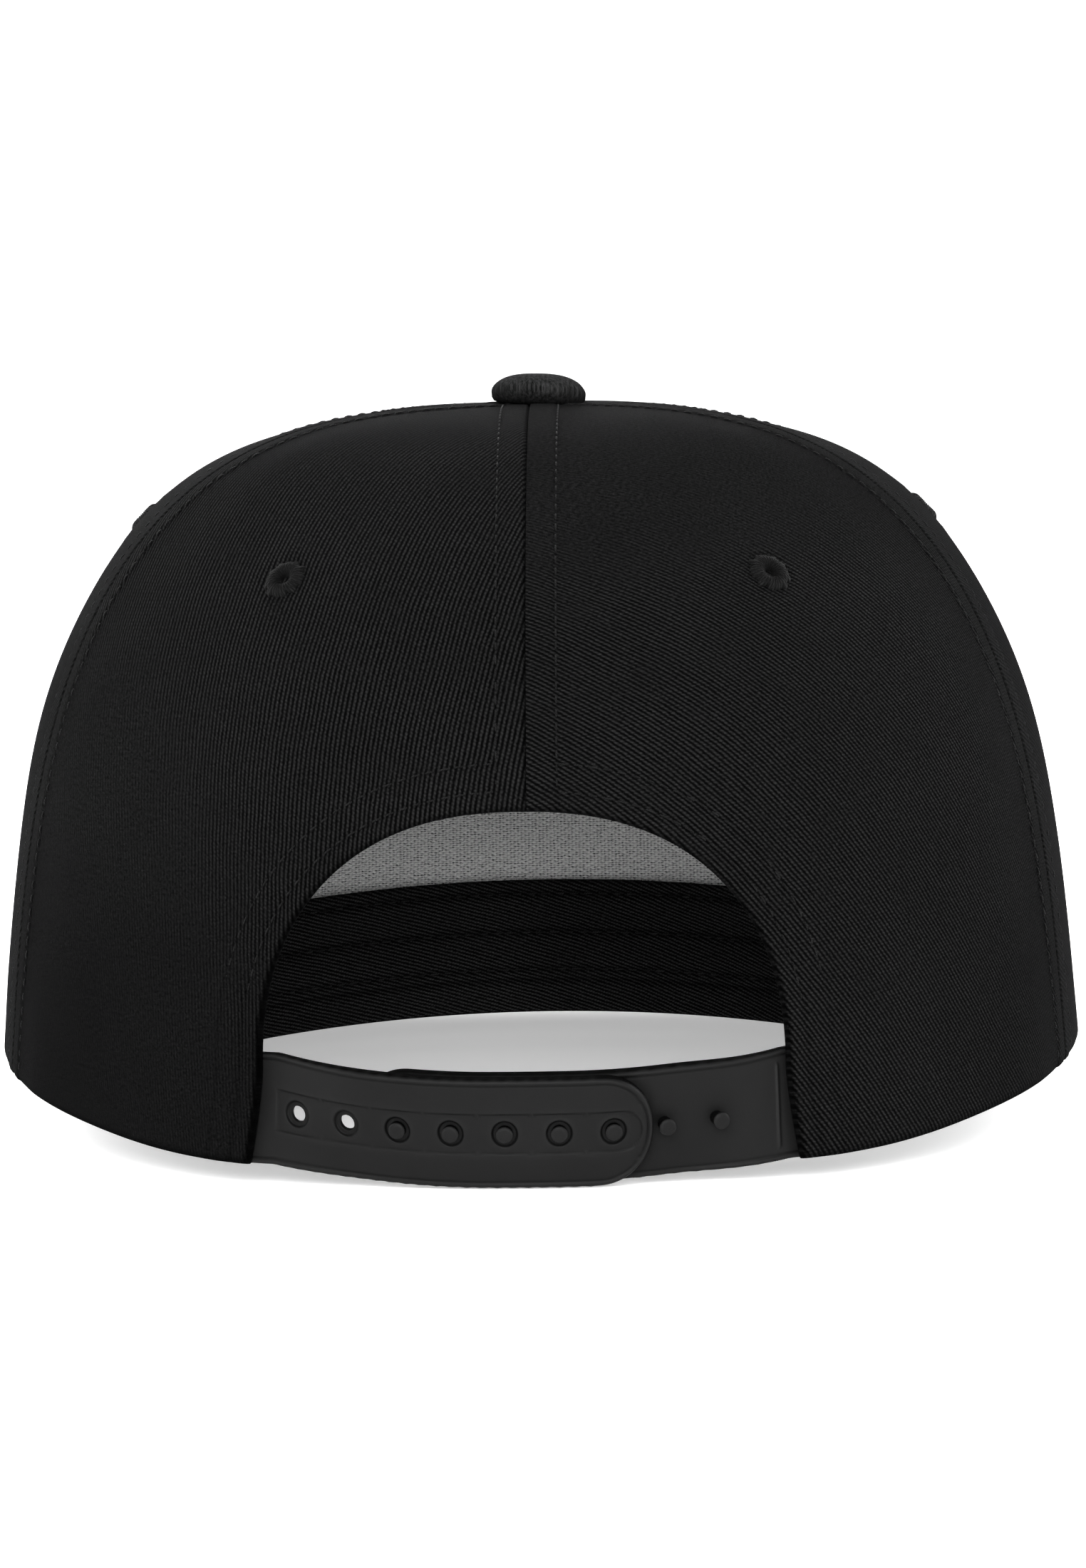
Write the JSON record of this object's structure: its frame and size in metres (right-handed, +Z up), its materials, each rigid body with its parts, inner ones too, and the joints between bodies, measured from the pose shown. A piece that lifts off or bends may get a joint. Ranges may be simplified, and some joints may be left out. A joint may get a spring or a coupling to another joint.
{
  "type": "snapback cap",
  "caption": "Plain black twill snapback cap with six crown panels, covered button, sewn eyelets, short flat brim and plastic snap strap under a rear arch",
  "frame": {"origin": "centre of the bounding box's foot, on the surface that the cap rests on", "axes": "+Z up, the brim points along -Y, the strap is at +Y, the wearer's left is +X"},
  "size_m": [0.18, 0.2588, 0.1242],
  "materials": {
    "twill": "matt black cotton twill with rows of black stitching",
    "brim_twill": "matt black cotton twill with eight rows of black stitching",
    "sweatband_twill": "matt black cotton twill, fine cross rib",
    "buckram": "grey open plain weave, stiffened",
    "thread": "black sewing thread, close radial stitches",
    "strap_plastic": "moulded black plastic, satin"
  },
  "bodies": {
    "root": {"rear_panel_left": "twill", "rear_panel_right": "twill", "side_panel_left": "twill", "side_panel_right": "twill", "front_panel_left": "twill", "front_panel_right": "twill", "button": "twill", "brim": "brim_twill", "sweatband": "sweatband_twill", "front_lining": "buckram", "strap_holes": "strap_plastic", "strap_pegs": "strap_plastic", "eyelet_rear_left": "thread", "eyelet_rear_right": "thread", "eyelet_side_left": "thread", "eyelet_side_right": "thread", "eyelet_front_left": "thread", "eyelet_front_right": "thread"}
  },
  "joints": []
}
